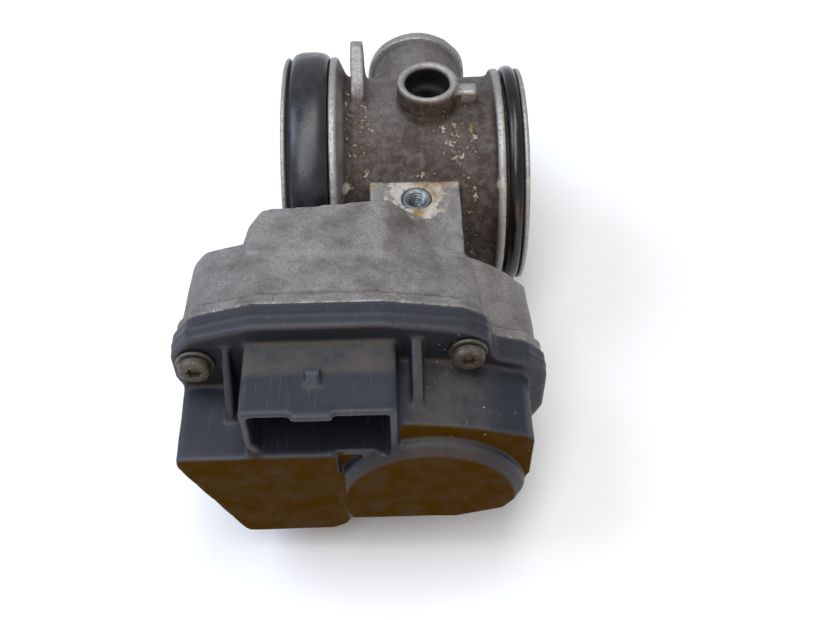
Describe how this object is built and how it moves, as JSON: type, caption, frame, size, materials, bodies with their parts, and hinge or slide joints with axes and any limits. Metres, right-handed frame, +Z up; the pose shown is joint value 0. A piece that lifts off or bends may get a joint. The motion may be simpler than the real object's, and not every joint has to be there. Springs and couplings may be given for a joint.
{
  "type": "electric throttle body",
  "caption": "Electric throttle body: cast air tube with grooved spigots, turning plate, and a side gear case with motor and plug socket.",
  "frame": {"origin": "Centre of the assembly's bounding box at the level of its lowest point, with the throttle plate open.", "axes": "+X along the air tube from the hose end to the engine end; +Y along the throttle shaft, away from the gear case; +Z up through the top port."},
  "size_m": [0.0962, 0.1572, 0.0825],
  "materials": {
    "cast_aluminium": "weathered as-cast aluminium with machined faces",
    "machined_steel": "turned steel",
    "zinc_steel": "dull zinc-plated steel",
    "bearing_brass": "sintered and turned brass",
    "contact_brass": "stamped brass contact",
    "plate_brass": "stained brass sheet",
    "seal_rubber": "matt grey-black moulded rubber",
    "gloss_rubber": "oily black rubber ring",
    "cover_plastic": "moulded glass-filled nylon, dusty",
    "gear_plastic": "natural moulded acetal",
    "circuit_board": "lacquered circuit board",
    "magnet": "sintered magnet"
  },
  "bodies": {
    "root": {"throttle_housing": "cast_aluminium", "inlet_seal": "seal_rubber", "outlet_seal": "gloss_rubber", "thread_insert": "machined_steel", "shaft_bearing_front": "bearing_brass", "shaft_bearing_rear": "bearing_brass", "shaft_seal": "seal_rubber", "rear_boss_plug": "zinc_steel", "intermediate_pin": "machined_steel", "open_stop_pin": "machined_steel", "closed_stop_pin": "machined_steel", "return_spring": "machined_steel", "motor_can": "zinc_steel", "motor_brush_cap": "cover_plastic", "motor_plate": "zinc_steel", "motor_screw_1": "zinc_steel", "motor_screw_2": "zinc_steel", "gear_cover": "cover_plastic", "cover_gasket": "seal_rubber", "cover_sleeve_1": "machined_steel", "cover_sleeve_2": "machined_steel", "cover_sleeve_3": "machined_steel", "cover_sleeve_4": "machined_steel", "cover_washer_1": "zinc_steel", "cover_washer_2": "zinc_steel", "cover_washer_3": "zinc_steel", "cover_washer_4": "zinc_steel", "cover_screw_1": "zinc_steel", "cover_screw_2": "zinc_steel", "cover_screw_3": "zinc_steel", "cover_screw_4": "zinc_steel", "connector_pin_1": "contact_brass", "connector_pin_2": "contact_brass", "connector_pin_3": "contact_brass", "connector_pin_4": "contact_brass", "connector_pin_5": "contact_brass", "connector_pin_6": "contact_brass", "sensor_board": "circuit_board", "sensor_chip": "cover_plastic"},
    "throttle": {"throttle_shaft": "machined_steel", "throttle_plate": "plate_brass", "plate_screw_1": "zinc_steel", "plate_screw_2": "zinc_steel", "sector_gear": "gear_plastic", "sensor_magnet": "magnet"},
    "intermediate": {"intermediate_gear": "gear_plastic"},
    "motor_rotor": {"motor_shaft": "machined_steel", "motor_pinion": "bearing_brass"}
  },
  "joints": [
    {"name": "throttle_turn", "type": "hinge", "parent": "root", "child": "throttle", "pos_m": [0.0178, 0.02765, 0.0418], "axis": [0, 1, 0], "range_deg": [0, 84], "stiffness_Nm_per_rad": 0.12, "springref_deg": -45.84},
    {"name": "intermediate_spin", "type": "hinge", "parent": "root", "child": "intermediate", "pos_m": [-0.00593, 0.02765, 0.03332], "axis": [0, 1, 0], "range_deg": [-323.08, 0]},
    {"name": "motor_spin", "type": "hinge", "parent": "root", "child": "motor_rotor", "pos_m": [-0.0117, 0.02765, 0.0533], "axis": [0, 1, 0], "range_deg": [0, 1076.93]}
  ],
  "couplings": [
    {"joint": "intermediate_spin", "follows": "throttle_turn", "ratio": -3.8462},
    {"joint": "motor_spin", "follows": "throttle_turn", "ratio": 12.821}
  ]
}
